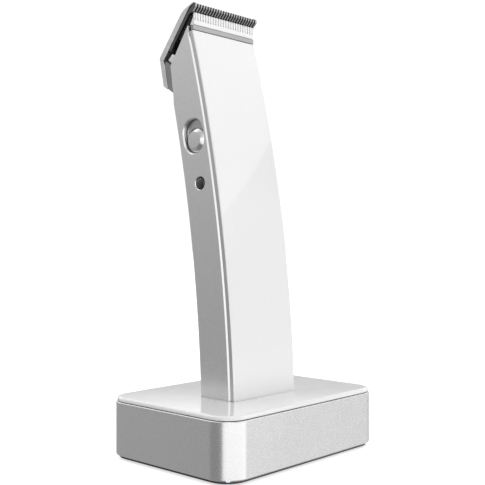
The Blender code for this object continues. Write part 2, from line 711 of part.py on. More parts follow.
def head_base(head):
    inner = [(0.0210, 0.1212), (0.0212, 0.1230), (0.02225, 0.1307), (0.0223, 0.1311)]
    outer = [(0.0250, 0.1331), (0.0253, 0.1326), (0.0254, 0.1316), (0.0236, 0.1224)]
    outer += [(0.0226, 0.1213)]
    outline = [above_dock(*point) for point in inner + outer]
    base = add_part("head_base", across([outline], 0.0346), "grey", carrier=head)
    y, z = above_dock(*HEAD_PIVOT)
    join(base, across([circle(0.00145, (y, z), 20)], 0.0220))
    web = [(0.0200, 0.1206), (0.0208, 0.1190), (0.0226, 0.1213), (0.0222, 0.1222)]
    web += [(0.0212, 0.1222)]
    join(base, across([[above_dock(*point) for point in web]], 0.0220))
    cut(base, across([circle(0.00085, (y, z), 16)], 0.0300))


def blade_seat(head):
    """Block under the foot of the fixed blade that carries it on the head's base."""
    outline = [(0.0220, 0.1361), (0.01945, 0.13475), (0.02175, 0.13135), (0.0247, 0.1337)]
    points = [above_dock(*point) for point in outline]
    add_part("blade_seat", across([points], CERAMIC_WIDTH), "bright_steel", carrier=head)


def head_heel(head):
    outline = [(0.0284, 0.1338), (0.0263, 0.1233), (0.0241, 0.1218), (0.0239, 0.1223)]
    outline += [(0.0257, 0.1317), (0.0262, 0.1331)]
    points = [above_dock(*point) for point in outline]
    add_part("head_heel", across([points], BLADE_WIDTH), "silver", carrier=head)


def blade_screws(head):
    for name, side in (("left", -1), ("right", 1)):
        place = blade_frame(BLADE_SCREW_AT, -0.0014, side * 0.0120)
        screw = add_part(
            f"blade_screw_{name}", cylinder(0.0018, 0.0011, 20), "bright_steel", place, head
        )
        join(screw, cylinder(0.0009, 0.0042, 12), place)


def blade_spring(head):
    """Bent wire that presses the moving comb against the fixed one."""
    route = [(0.0085, 0.0161, -0.0017), (0.0085, 0.0138, -0.0026), (0.0085, 0.0100, -0.0026)]
    route += [(0.0080, 0.0084, -0.0026), (0.0065, 0.0078, -0.0026), (0.0, 0.0078, -0.0026)]
    route += [(-x, p, q) for x, p, q in reversed(route[:-1])]
    curve = bpy.data.curves.new("blade_spring", "CURVE")
    curve.dimensions = "3D"
    curve.bevel_depth = 0.00025
    curve.bevel_resolution = 2
    curve.use_fill_caps = True
    spline = curve.splines.new("POLY")
    spline.points.add(len(route) - 1)
    for point, (x, p, q) in zip(spline.points, route):
        point.co = (HANDLE_X + x, *blade_point(p, q), 1)
    wire = bpy.data.objects.new("blade_spring", curve)
    PARTS.objects.link(wire)
    curve.materials.append(finish("blade_spring", "bright_steel"))
    wire.parent = head
    wire.matrix_parent_inverse = head.matrix_basis.inverted()


def moving_comb(stroke):
    section = [(0.0091, 0.1504), (0.00905, 0.14565), (0.0112, 0.14565), (0.01135, 0.1459)]
    section += [(0.0098, 0.1486), (0.0097, 0.1500)]
    wedge = across([[above_dock(*point) for point in section]], CERAMIC_WIDTH)
    comb = add_part("moving_blade", wedge, "ceramic", carrier=stroke)
    top = DOCK_TOP + 0.1504
    slot, relief = 0.00032, 0.00038
    outline = comb_outline(CERAMIC_WIDTH + 0.0006, 0.0010, -0.0023, -0.0060, slot, slot, relief)
    stand = Matrix.Rotation(math.pi / 2, 4, "X")
    flat = prism([outline], 0.0100, stand)
    combine(comb, "INTERSECT", flat, Matrix.Translation((HANDLE_X, 0.0100, top)))


def blade_carrier(stroke):
    section = [(-0.0006, -0.0011), (0.0008, -0.0003), (0.0130, -0.0003), (0.0130, -0.0017)]
    section += [(0.0036, -0.0018), (0.0012, -0.0018)]
    body = across([[blade_point(p, q) for p, q in section]], CERAMIC_WIDTH)
    carrier = add_part("blade_carrier", body, "black", carrier=stroke)
    join(carrier, box((0.0120, 0.0052, 0.0014)), blade_frame(0.0137, -0.0010))
    for side in (-1, 1):
        notch = blade_frame(0.0135, -0.0010, side * 0.0132)
        cut(carrier, box((0.0120, 0.0056, 0.0030)), notch)
    slot = blade_frame(DRIVE_PIN_AT - 0.0005, -0.0010)
    cut(carrier, box((0.0022, 0.0042, 0.0040)), slot)


def build():
    dock_shell()
    dock_top_plate()
    socket_well()
    dock_base_plate()
    dock_feet_and_screws()
    charge_board()
    dc_jack()
    charge_pins()
    clipper = add_axis("clipper_lift", handle_frame(0.0))
    for make in (
        rear_casing,
        front_panel,
        top_bezel,
        end_cap,
        inner_chassis,
        battery,
        motor,
        eccentric,
        drive_lever,
        controls,
        hinge,
    ):
        make(clipper)
    head = add_axis("blade_head_pivot", Matrix.Translation((HANDLE_X, *above_dock(*HEAD_PIVOT))))
    head.parent = clipper
    head.matrix_parent_inverse = clipper.matrix_basis.inverted()
    for make in (
        fixed_blade,
        blade_cover,
        blade_seat,
        head_base,
        head_heel,
        blade_screws,
        blade_spring,
    ):
        make(head)
    stroke = add_axis("blade_stroke", blade_frame(DRIVE_PIN_AT, 0.0))
    stroke.parent = head
    stroke.matrix_parent_inverse = head.matrix_basis.inverted()
    moving_comb(stroke)
    blade_carrier(stroke)


build()
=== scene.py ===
import math

import bmesh
import bpy
from mathutils import Matrix


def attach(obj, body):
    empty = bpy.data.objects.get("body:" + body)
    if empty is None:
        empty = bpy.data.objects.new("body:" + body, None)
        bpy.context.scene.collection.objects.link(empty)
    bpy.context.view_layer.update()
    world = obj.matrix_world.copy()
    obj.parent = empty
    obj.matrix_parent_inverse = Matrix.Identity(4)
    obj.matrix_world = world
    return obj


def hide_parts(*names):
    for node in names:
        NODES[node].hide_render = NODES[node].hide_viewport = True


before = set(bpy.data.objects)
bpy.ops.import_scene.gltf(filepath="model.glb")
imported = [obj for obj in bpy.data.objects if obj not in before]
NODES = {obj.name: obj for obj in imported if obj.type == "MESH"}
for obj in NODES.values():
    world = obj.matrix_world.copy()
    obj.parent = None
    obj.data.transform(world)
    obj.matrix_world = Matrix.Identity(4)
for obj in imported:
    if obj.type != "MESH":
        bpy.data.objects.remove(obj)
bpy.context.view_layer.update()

# Sizes shared with the CAD, in metres. Points are (y, height over the dock's top). Places on the
# handle are s along its curved spine and n off it, towards the back.
DOCK_WIDTH, DOCK_DEPTH, DOCK_TOP, DOCK_CORNER = 0.0900, 0.0660, 0.0240, 0.0095
SHELL_BOTTOM, SHELL_TOP, SHELL_WALL = 0.0015, 0.0222, 0.0020
SLOT_WIDTH, SLOT_DEPTH, SLOT_Y, SLOT_CORNER = 0.0373, 0.01805, -0.0045, 0.0006
HANDLE_X, HANDLE_WIDTH, HANDLE_BACK, HANDLE_FRONT = -0.00315, 0.0368, 0.00925, -0.0082
BEND_RADIUS, TILT_AT_DOCK, SPINE_Y = 0.600, math.radians(2.1), -0.0050
WALL, RIM, INSERTED = 0.0016, -0.0063, 0.0124
BACK_LINE = [(0.0202, 0.1188), (0.0219, 0.1304)]
MOUTH_FRONT = (0.01155, 0.1454)
BLADE_ORIGIN, BLADE_SLOPE = (0.0115, 0.14975), math.radians(51.5)
BLADE_WIDTH, CERAMIC_WIDTH = 0.0360, 0.0344
TOOTH_PITCH, TEETH = 0.00145, 24
HEAD_PIVOT = (0.01975, 0.1200)
SWITCH_AT, SWITCH_N, SWITCH_REST = 0.1026, 0.0010, -0.0016
LAMP_AT, LAMP_N = 0.0836, 0.0009
LEFT = -HANDLE_WIDTH / 2


# Frames on the handle and the blade ----------------------------------------------------------------


def above_dock(y, height):
    return (y, DOCK_TOP + height)


def all_above_dock(points):
    return [above_dock(*point) for point in points]


def spine(s):
    tilt = TILT_AT_DOCK + s / BEND_RADIUS
    y = SPINE_Y + BEND_RADIUS * (math.cos(TILT_AT_DOCK) - math.cos(tilt))
    z = DOCK_TOP + BEND_RADIUS * (math.sin(tilt) - math.sin(TILT_AT_DOCK))
    return y, z, tilt


def handle_point(s, n):
    y, z, tilt = spine(s)
    return (y + n * math.cos(tilt), z - n * math.sin(tilt))


def handle_frame(s, n=0.0, x=0.0):
    y, z = handle_point(s, n)
    return Matrix.Translation((HANDLE_X + x, y, z)) @ Matrix.Rotation(-spine(s)[2], 4, "X")


def handle_arc(n, low, high, steps=48):
    return [handle_point(low + (high - low) * i / steps, n) for i in range(steps + 1)]


def arc_length_at(n, height):
    low, high = -0.05, 0.20  # the handle's own lengths lie well between
    for _ in range(40):
        middle = (low + high) / 2
        if handle_point(middle, n)[1] < DOCK_TOP + height:
            low = middle
        else:
            high = middle
    return low


def blade_point(p, q):
    y = BLADE_ORIGIN[0] + p * math.cos(BLADE_SLOPE) + q * math.sin(BLADE_SLOPE)
    z = DOCK_TOP + BLADE_ORIGIN[1] - p * math.sin(BLADE_SLOPE) + q * math.cos(BLADE_SLOPE)
    return (y, z)


def all_on_blade(points):
    return [blade_point(p, q) for p, q in points]


def blade_frame(p, q, x=0.0):
    y, z = blade_point(p, q)
    return Matrix.Translation((HANDLE_X + x, y, z)) @ Matrix.Rotation(-BLADE_SLOPE, 4, "X")


# Mesh tools ----------------------------------------------------------------------------------------

STILL = Matrix.Identity(4)
ALONG_X = Matrix(((0, 0, 1, 0), (1, 0, 0, 0), (0, 1, 0, 0), (0, 0, 0, 1)))
TINY = 1e-6
FLAT = math.radians(0.02)
CREASE = 0.3
ROUNDED_ABOVE = math.radians(28)


def to_mesh(shape):
    mesh = bpy.data.meshes.new("shape")
    shape.to_mesh(mesh)
    shape.free()
    return mesh


def evaluated_mesh(obj):
    return bpy.data.meshes.new_from_object(
        obj.evaluated_get(bpy.context.evaluated_depsgraph_get())
    )


def plain_prism(loop, thickness, place):
    shape = bmesh.new()
    low = [shape.verts.new((u, v, -thickness / 2)) for u, v in loop]
    high = [shape.verts.new((u, v, thickness / 2)) for u, v in loop]
    shape.faces.new(low)
    shape.faces.new(high)
    for i in range(len(loop)):
        j = (i + 1) % len(loop)
        shape.faces.new((low[i], low[j], high[j], high[i]))
    bmesh.ops.recalc_face_normals(shape, faces=shape.faces)
    bmesh.ops.transform(shape, matrix=place, verts=shape.verts)
    return to_mesh(shape)


def prism(loops, thickness, place=STILL):
    """A flat outline, with any holes, as a solid of some thickness about its plane."""
    if len(loops) == 1:
        return plain_prism(loops[0], thickness, place)
    curve = bpy.data.curves.new("outline", "CURVE")
    curve.dimensions = "2D"
    curve.fill_mode = "BOTH"
    curve.extrude = thickness / 2
    for loop in loops:
        spline = curve.splines.new("POLY")
        spline.points.add(len(loop) - 1)
        for point, (u, v) in zip(spline.points, loop):
            point.co = (u, v, 0, 1)
        spline.use_cyclic_u = True
    guide = bpy.data.objects.new("outline", curve)
    bpy.context.scene.collection.objects.link(guide)
    mesh = evaluated_mesh(guide)
    bpy.data.objects.remove(guide, do_unlink=True)
    shape = bmesh.new()
    shape.from_mesh(mesh)
    bmesh.ops.remove_doubles(shape, verts=shape.verts, dist=TINY)
    bmesh.ops.dissolve_limit(shape, angle_limit=FLAT, verts=shape.verts, edges=shape.edges)
    bmesh.ops.recalc_face_normals(shape, faces=shape.faces)
    bmesh.ops.transform(shape, matrix=place, verts=shape.verts)
    return to_mesh(shape)


def across(loops, width, x=0.0):
    return prism(loops, width, Matrix.Translation((HANDLE_X + x, 0, 0)) @ ALONG_X)


def upright(loops, low, high):
    return prism(loops, high - low, Matrix.Translation((0, 0, (low + high) / 2)))


def box(size, place=STILL):
    shape = bmesh.new()
    bmesh.ops.create_cube(shape, size=1.0, matrix=place @ Matrix.Diagonal((*size, 1)))
    return to_mesh(shape)


def lathe(profile, steps, place):
    """Turns (radius, height) points, from the axis round to the axis, about Z."""
    shape = bmesh.new()
    rings = []
    for radius, height in profile:
        if radius < TINY:
            rings.append([shape.verts.new((0, 0, height))])
            continue
        ring = []
        for i in range(steps):
            angle = 2 * math.pi * i / steps
            ring.append(
                shape.verts.new((radius * math.cos(angle), radius * math.sin(angle), height))
            )
        rings.append(ring)
    for below, above in zip(rings, rings[1:]):
        for i in range(steps):
            j = (i + 1) % steps
            corners = [below[i % len(below)], below[j % len(below)]]
            corners += [above[j % len(above)], above[i % len(above)]]
            unique = list(dict.fromkeys(corners))
            if len(unique) > 2:
                shape.faces.new(unique)
    bmesh.ops.recalc_face_normals(shape, faces=shape.faces)
    bmesh.ops.transform(shape, matrix=place, verts=shape.verts)
    return to_mesh(shape)


def rounded_rectangle(width, depth, radius, centre=(0.0, 0.0), steps=8):
    points = []
    for corner in range(4):
        turn = corner * math.pi / 2
        right = 1 if corner in (0, 3) else -1
        back = 1 if corner in (0, 1) else -1
        middle_x = centre[0] + right * (width / 2 - radius)
        middle_y = centre[1] + back * (depth / 2 - radius)
        for i in range(steps + 1):
            angle = turn + math.pi / 2 * i / steps
            points.append(
                (middle_x + radius * math.cos(angle), middle_y + radius * math.sin(angle))
            )
    return points


def oval(width, height, steps=28):
    radius, rise = width / 2, (height - width) / 2
    points = []
    for start, lift in ((0.0, rise), (math.pi, -rise)):
        for i in range(steps + 1):
            angle = start + math.pi * i / steps
            points.append((radius * math.cos(angle), lift + radius * math.sin(angle)))
    return points


def circle(radius, centre=(0.0, 0.0), steps=48):
    return [
        (
            centre[0] + radius * math.cos(2 * math.pi * i / steps),
            centre[1] + radius * math.sin(2 * math.pi * i / steps),
        )
        for i in range(steps)
    ]


def bevel(mesh, chosen, width, segments):
    """Rounds the edges that chosen picks by their two ends; one segment makes a chamfer."""
    shape = bmesh.new()
    shape.from_mesh(mesh)
    edges = [
        e
        for e in shape.edges
        if e.calc_face_angle(0.0) > CREASE and chosen(e.verts[0].co, e.verts[1].co)
    ]
    bmesh.ops.bevel(
        shape,
        geom=edges,
        offset=width,
        offset_type="OFFSET",
        segments=segments,
        profile=0.5,
        affect="EDGES",
        clamp_overlap=False,
    )
    shape.to_mesh(mesh)
    shape.free()
    return mesh


def level_edges(height):
    return lambda a, b: abs(a.z - height) < TINY and abs(b.z - height) < TINY


def combined(mesh, operation, others):
    """Boolean of one mesh with (mesh, place) pairs, in order."""
    scene = bpy.context.scene.collection
    base = bpy.data.objects.new("base", mesh)
    scene.objects.link(base)
    helpers = []
    for other, place in others:
        helper = bpy.data.objects.new("helper", other)
        scene.objects.link(helper)
        helper.matrix_basis = place
        helpers.append(helper)
        step = base.modifiers.new("step", "BOOLEAN")
        step.operation = operation
        step.solver = "EXACT"
        step.object = helper
    bpy.context.view_layer.update()
    result = evaluated_mesh(base)
    for obj in [base, *helpers]:
        bpy.data.objects.remove(obj, do_unlink=True)
    return result


def piece(name, mesh, material, body, replaces, edge=0.0, segments=2, sharp=40):
    """A finished piece: edges broken by a small round, smooth between them."""
    mesh.name = name
    obj = bpy.data.objects.new(name, mesh)
    bpy.context.scene.collection.objects.link(obj)
    mesh.materials.clear()
    mesh.materials.append(material)
    if edge > 0:
        shape = bmesh.new()
        shape.from_mesh(mesh)
        bmesh.ops.dissolve_limit(shape, angle_limit=FLAT, verts=shape.verts, edges=shape.edges)
        shape.to_mesh(mesh)
        shape.free()
        rounding = obj.modifiers.new("rounding", "BEVEL")
        rounding.width = edge
        rounding.segments = segments
        rounding.limit_method = "ANGLE"
        rounding.angle_limit = ROUNDED_ABOVE
        rounding.use_clamp_overlap = True
        rounding.miter_outer = "MITER_ARC"
        finished = evaluated_mesh(obj)
        obj.modifiers.clear()
        obj.data = finished
        mesh = finished
        mesh.name = name
    mesh.shade_smooth()
    mesh.set_sharp_from_angle(angle=math.radians(sharp))
    weighted = obj.modifiers.new("weighted", "WEIGHTED_NORMAL")
    weighted.keep_sharp = True
    weighted.weight = 80
    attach(obj, body)
    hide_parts(*replaces)
    return obj


def paint_side_shade(obj, material, least):
    """Gives the faces that look along x a second material, which paints shade on those sides."""
    obj.data.materials.append(material)
    for face in obj.data.polygons:
        if abs(face.normal.x) > least:
            face.material_index = 1


# Materials -----------------------------------------------------------------------------------------


class Recipe:
    """Builds one node material around a Principled surface."""

    def __init__(self, name, colour, roughness, metallic=0.0, **constants):
        self.material = bpy.data.materials.new(name)
        self.material.use_nodes = True
        self.tree = self.material.node_tree
        self.surface = self.tree.nodes["Principled BSDF"]
        self.colour, self.roughness = colour, roughness
        self.surface.inputs["Base Color"].default_value = (*colour, 1.0)
        self.surface.inputs["Roughness"].default_value = roughness
        self.surface.inputs["Metallic"].default_value = metallic
        for key, value in constants.items():
            self.surface.inputs[key.replace("_", " ")].default_value = value
        self.place = self.tree.nodes.new("ShaderNodeTexCoord")
        self.shade = None
        self.gloss = None
        self.height = None

    def node(self, kind, **values):
        made = self.tree.nodes.new(kind)
        for key, value in values.items():
            if hasattr(made, key):
                setattr(made, key, value)
            else:
                made.inputs[key.replace("_", " ")].default_value = value
        return made

    def link(self, output, target):
        self.tree.links.new(output, target)

    def stretched(self, stretch):
        mapping = self.node("ShaderNodeMapping")
        mapping.inputs["Scale"].default_value = stretch
        self.link(self.place.outputs["Object"], mapping.inputs["Vector"])
        return mapping.outputs["Vector"]

    def noise(self, scale, detail=2.0, roughness=0.5, stretch=(1, 1, 1)):
        texture = self.node("ShaderNodeTexNoise", Scale=scale, Detail=detail, Roughness=roughness)
        self.link(self.stretched(stretch), texture.inputs["Vector"])
        return texture.outputs["Fac"]

    def cells(self, scale, stretch=(1, 1, 1)):
        texture = self.node("ShaderNodeTexVoronoi", Scale=scale)
        self.link(self.stretched(stretch), texture.inputs["Vector"])
        return texture.outputs["Distance"]

    def ranged(self, value, low, high, to_low, to_high):
        step = self.node("ShaderNodeMapRange", interpolation_type="SMOOTHSTEP")
        step.inputs["From Min"].default_value = low
        step.inputs["From Max"].default_value = high
        step.inputs["To Min"].default_value = to_low
        step.inputs["To Max"].default_value = to_high
        self.link(value, step.inputs["Value"])
        return step.outputs["Result"]

    def calculate(self, operation, a, b):
        step = self.node("ShaderNodeMath", operation=operation)
        for socket, value in zip(step.inputs, (a, b)):
            if isinstance(value, (int, float)):
                socket.default_value = value
            else:
                self.link(value, socket)
        return step.outputs[0]

    def vary(self, value, amount, low=0.3, high=0.7):
        """Colour is scaled by 1 - amount to 1 + amount as the value goes from low to high."""
        scaled = self.ranged(value, low, high, 1 - amount, 1 + amount)
        self.shade = scaled if self.shade is None else self.calculate("MULTIPLY", self.shade, scaled)
        return self

    def dull(self, value, amount, low=0.3, high=0.7):
        """Roughness moves by -amount to +amount as the value goes from low to high."""
        shifted = self.ranged(value, low, high, -amount, amount)
        self.gloss = shifted if self.gloss is None else self.calculate("ADD", self.gloss, shifted)
        return self

    def relief(self, value, depth):
        """The surface rises by up to depth metres."""
        scaled = self.calculate("MULTIPLY", value, depth)
        self.height = scaled if self.height is None else self.calculate("ADD", self.height, scaled)
        return self

    def done(self):
        if self.shade is not None:
            mix = self.node("ShaderNodeVectorMath", operation="SCALE")
            mix.inputs[0].default_value = self.colour
            self.link(self.shade, mix.inputs["Scale"])
            self.link(mix.outputs[0], self.surface.inputs["Base Color"])
        if self.gloss is not None:
            gloss = self.calculate("ADD", self.gloss, self.roughness)
            self.link(gloss, self.surface.inputs["Roughness"])
        if self.height is not None:
            bump = self.node("ShaderNodeBump", Strength=1.0, Distance=1.0)
            self.link(self.height, bump.inputs["Height"])
            self.link(bump.outputs["Normal"], self.surface.inputs["Normal"])
        return self.material


def grey(level):
    return (level, level, level)


def satin_silver(name, level, roughness):
    """Fine metallic paint: flakes about 0.1 mm across over a faint mottle."""
    made = Recipe(name, grey(level), roughness, 0.92, Coat_Weight=0.12, Coat_Roughness=0.25)
    flakes = made.noise(5200, 1.0)
    mottle = made.noise(420, 3.0)
    made.vary(flakes, 0.05).vary(mottle, 0.012)
    made.dull(flakes, 0.05).dull(made.noise(60, 3.0), 0.02)
    return made.relief(flakes, 3e-7).relief(made.noise(900, 2.0), 4e-7).done()


def gloss_white(name, level):
    made = Recipe(
        name, grey(level), 0.16, 0.0, Coat_Weight=0.8, Coat_Roughness=0.012, Coat_IOR=1.5
    )
    made.vary(made.noise(35, 3.0), 0.006)
    made.dull(made.noise(160, 3.0), 0.03)
    return made.relief(made.noise(260, 1.0), 4e-7).done()


def ground_ceramic(name):
    made = Recipe(name, (0.93, 0.93, 0.925), 0.32, 0.0, Coat_Weight=0.25, Coat_Roughness=0.12)
    lines = made.noise(900, 2.0, 0.6, (0.05, 1, 1))
    made.vary(lines, 0.012).dull(lines, 0.06)
    return made.relief(lines, 6e-7).relief(made.noise(2400, 1.0), 4e-7).done()


def ground_steel(name, level, roughness, across_x=True):
    """Metal with the fine parallel lines that grinding leaves."""
    stretch = (0.03, 1, 1) if across_x else (1, 0.05, 0.05)
    made = Recipe(name, (level, level, level * 1.01), roughness, 1.0)
    lines = made.noise(2600, 3.0, 0.65, stretch)
    made.vary(lines, 0.16).dull(lines, 0.09)
    made.vary(made.noise(300, 2.0), 0.05)
    return made.relief(lines, 1.2e-6).done()


def polished(name, level, roughness):
    made = Recipe(name, grey(level), roughness, 1.0)
    made.vary(made.noise(700, 3.0), 0.04)
    made.dull(made.noise(1800, 3.0, 0.7, (1, 0.2, 1)), 0.05, 0.35, 0.7)
    return made.relief(made.noise(1500, 2.0), 3e-7).done()


def moulded(name, colour, roughness=0.5):
    """Moulded plastic with a spark-eroded grain."""
    made = Recipe(name, colour, roughness, 0.0)
    pits = made.noise(2600, 2.0, 0.6)
    made.vary(pits, 0.05).dull(pits, 0.06)
    made.vary(made.noise(120, 2.0), 0.03)
    return made.relief(pits, 3e-6).done()


def rubber(name):
    made = Recipe(name, grey(0.028), 0.82, 0.0, Sheen_Weight=0.2)
    made.vary(made.noise(500, 3.0), 0.2)
    return made.relief(made.noise(3000, 2.0), 6e-6).done()


def plated(name, colour):
    made = Recipe(name, colour, 0.22, 1.0)
    made.vary(made.noise(1500, 3.0), 0.08).dull(made.noise(900, 3.0), 0.08)
    return made.relief(made.noise(2600, 2.0), 6e-7).done()


def circuit_board(name):
    made = Recipe(name, (0.02, 0.13, 0.065), 0.35, 0.0, Coat_Weight=0.4, Coat_Roughness=0.1)
    tracks = made.cells(420)
    made.vary(tracks, 0.35, 0.25, 0.45).vary(made.noise(200, 2.0), 0.1)
    return made.relief(tracks, 8e-6).done()


def wrapped_cell(name):
    made = Recipe(name, (0.04, 0.16, 0.10), 0.3, 0.0, Coat_Weight=0.5, Coat_Roughness=0.12)
    made.vary(made.noise(260, 3.0), 0.12)
    return made.relief(made.noise(300, 3.0, 0.6, (1, 1, 0.2)), 8e-6).done()


def dark_lens(name):
    made = Recipe(name, grey(0.012), 0.07, 0.0, Coat_Weight=1.0, Coat_Roughness=0.03)
    made.vary(made.noise(2400, 2.0), 0.5, 0.35, 0.65).dull(made.noise(1200, 2.0), 0.03)
    return made.relief(made.cells(1500), 2e-6).done()


SILVER = satin_silver("satin_silver_paint", 0.75, 0.30)
DOCK_SILVER = satin_silver("dock_silver_paint", 0.75, 0.28)
COVER_SILVER = ground_steel("brushed_cover", 0.72, 0.36)
# Panel side band: grey trim colour, darkened further to paint the shade those sides fall in.
PANEL_SIDE_TRIM_AND_SHADE = satin_silver("panel_side_trim_and_painted_shade", 0.64, 0.40)
# Darker silver for the switch recess: painted shade of the hollow.
DISH_PAINTED_SHADE = satin_silver("switch_dish_painted_shade", 0.48, 0.30)
BEZEL_SILVER = satin_silver("bezel_silver_paint", 0.40, 0.42)
WHITE = gloss_white("gloss_white_panel", 0.835)
DECK_WHITE = gloss_white("gloss_white_deck", 0.86)
CERAMIC = ground_ceramic("white_ceramic")
STEEL = ground_steel("ground_blade_steel", 0.40, 0.26, across_x=False)
# Near-black steel for the tooth side walls: painted shade between the teeth.
FLANK_PAINTED_SHADE = ground_steel("tooth_flanks_painted_shade", 0.12, 0.34, across_x=False)
BRIGHT = polished("bright_steel", 0.80, 0.16)
CHROME = polished("button_metal", 0.74, 0.20)
GREY = moulded("grey_plastic", grey(0.27))
BLACK = moulded("black_plastic", grey(0.012), 0.42)
CHARCOAL = moulded("charcoal_plastic", grey(0.055), 0.55)
NATURAL = moulded("natural_plastic", (0.78, 0.78, 0.76), 0.4)
RUBBER = rubber("black_rubber")
GOLD = plated("gold_plating", (0.83, 0.64, 0.30))
BOARD = circuit_board("circuit_board")
CELL = wrapped_cell("cell_wrap")
LENS = dark_lens("dark_lens")


# Dock ----------------------------------------------------------------------------------------------

JACK_OPENING, JACK_HEIGHT = (0.0100, 0.0080, 0.0108), 0.0105
DECK_BOTTOM = SHELL_TOP + 0.0003


def dock_outline(inset, corner, steps):
    """The dock's plan, drawn in by the inset."""
    return rounded_rectangle(DOCK_WIDTH - 2 * inset, DOCK_DEPTH - 2 * inset, corner, steps=steps)


def make_dock_body():
    outer = dock_outline(0.0, DOCK_CORNER, 32)
    inner = dock_outline(SHELL_WALL, DOCK_CORNER - SHELL_WALL, 16)
    body = upright([outer, inner], SHELL_BOTTOM, SHELL_TOP)

    def past_wall(point):
        past_side = abs(point.x) > DOCK_WIDTH / 2 - SHELL_WALL + TINY
        return past_side or abs(point.y) > DOCK_DEPTH / 2 - SHELL_WALL + TINY

    for height, width in ((SHELL_BOTTOM, 0.0006), (SHELL_TOP, 0.00035)):
        level = level_edges(height)
        body = bevel(
            body, lambda a, b: level(a, b) and (past_wall(a) or past_wall(b)), width, 4
        )
    opening = box(JACK_OPENING, Matrix.Translation((0, DOCK_DEPTH / 2, JACK_HEIGHT)))
    body = combined(body, "DIFFERENCE", [(opening, STILL)])
    piece("dock_body", body, DOCK_SILVER, "dock", ["dock_shell"])


def make_dock_deck():
    edge = dock_outline(0.0005, DOCK_CORNER - 0.0005, 32)
    slot = rounded_rectangle(SLOT_WIDTH, SLOT_DEPTH, SLOT_CORNER, (HANDLE_X, SLOT_Y))
    deck = upright([edge, slot], DECK_BOTTOM, DOCK_TOP)
    level = level_edges(DOCK_TOP)

    def near_rim(point):
        return abs(point.x) > DOCK_WIDTH / 3 or abs(point.y) > DOCK_DEPTH / 3

    deck = bevel(deck, lambda a, b: level(a, b) and near_rim(a), 0.0011, 8)
    deck = bevel(deck, lambda a, b: level(a, b) and not near_rim(a), 0.0002, 3)
    lip = [dock_outline(0.0024, 0.0072, 16), dock_outline(0.0038, 0.0058, 16)]
    lip = upright(lip, DECK_BOTTOM - 0.0018, DECK_BOTTOM + 0.0002)
    deck = combined(deck, "UNION", [(lip, STILL)])
    piece("dock_deck", deck, DECK_WHITE, "dock", ["dock_top_plate"])


# Handle --------------------------------------------------------------------------------------------

BACK_TOP, HOLLOW_TOP, PANEL_TOP = 0.1150, 0.1130, 0.1434
HEEL_START = 0.1310
HOLLOW_BELOW = 0.004
THROUGH_FLANK = 0.006
SWITCH_FLANK = handle_frame(SWITCH_AT, SWITCH_N, LEFT)
LAMP_FLANK = handle_frame(LAMP_AT, LAMP_N, LEFT)
FACE_LEFT = Matrix.Rotation(-math.pi / 2, 4, "Y")


def long_edge(a, b, width):
    """Edges that run up a body of some width where its sides meet its front and back."""
    same_side = abs(a.x - b.x) < TINY and abs(abs(a.x - HANDLE_X) - width / 2) < TINY
    return same_side and abs(a.z - b.z) > 0.001


def in_front(a, b, n):
    """Whether the middle of an edge lies in front of the line that runs n off the spine."""
    height = (a.z + b.z) / 2 - DOCK_TOP
    return (a.y + b.y) / 2 < handle_point(arc_length_at(n, height), n)[0]


def casing_hollow():
    n, low = HANDLE_BACK - WALL, -INSERTED - HOLLOW_BELOW
    hollow = handle_arc(n, low, arc_length_at(n, HOLLOW_TOP), 24)
    hollow += all_above_dock([(0.0186, 0.1188), (0.0206, 0.1340), (0.0100, 0.1600)])
    hollow += reversed(handle_arc(RIM - 0.0030, low, 0.150, 8))
    return across([hollow], HANDLE_WIDTH - 2 * WALL)


def countersunk(mesh, flank, half_width, half_height, depth):
    """Breaks the edge of an opening in the left flank."""
    local = flank.inverted()

    def opening_edge(a, b):
        ends = [local @ a, local @ b]
        level = max(abs(end.x) for end in ends) < TINY
        near = max(abs(end.y) for end in ends) < half_width
        return level and near and max(abs(end.z) for end in ends) < half_height

    return bevel(mesh, opening_edge, depth, 1)


def make_casing():
    back_top = arc_length_at(HANDLE_BACK, BACK_TOP)
    rim_top = arc_length_at(RIM, MOUTH_FRONT[1] - 0.0006)
    outline = handle_arc(HANDLE_BACK, -INSERTED, back_top)
    outline += all_above_dock([*BACK_LINE, MOUTH_FRONT])
    outline += reversed(handle_arc(RIM, -INSERTED, rim_top))
    mesh = across([outline], HANDLE_WIDTH)

    def back_edge(a, b):
        beside_heel = max(a.z, b.z) > DOCK_TOP + HEEL_START
        return long_edge(a, b, HANDLE_WIDTH) and not beside_heel and not in_front(a, b, 0.0)

    def front_edge(a, b):
        below_mouth = max(a.z, b.z) < DOCK_TOP + MOUTH_FRONT[1] - 0.0002
        return long_edge(a, b, HANDLE_WIDTH) and below_mouth and in_front(a, b, 0.0)

    mesh = bevel(mesh, back_edge, 0.0005, 4)
    mesh = bevel(mesh, front_edge, 0.0006, 1)
    y, z = above_dock(*HEAD_PIVOT)
    openings = [
        (casing_hollow(), STILL),
        (prism([oval(0.0106, 0.0136)], THROUGH_FLANK, ALONG_X), SWITCH_FLANK),
        (prism([circle(0.0025)], THROUGH_FLANK, ALONG_X), LAMP_FLANK),
        (box((0.0298, 0.0080, 0.0038)), Matrix.Translation((HANDLE_X, y + 0.0005, z))),
    ]
    mesh = combined(mesh, "DIFFERENCE", openings)
    mesh = countersunk(mesh, SWITCH_FLANK, 0.0054, 0.0072, 0.0005)
    mesh = countersunk(mesh, LAMP_FLANK, 0.0026, 0.0026, 0.0003)
    piece("handle_casing", mesh, SILVER, "clipper", ["rear_casing"])


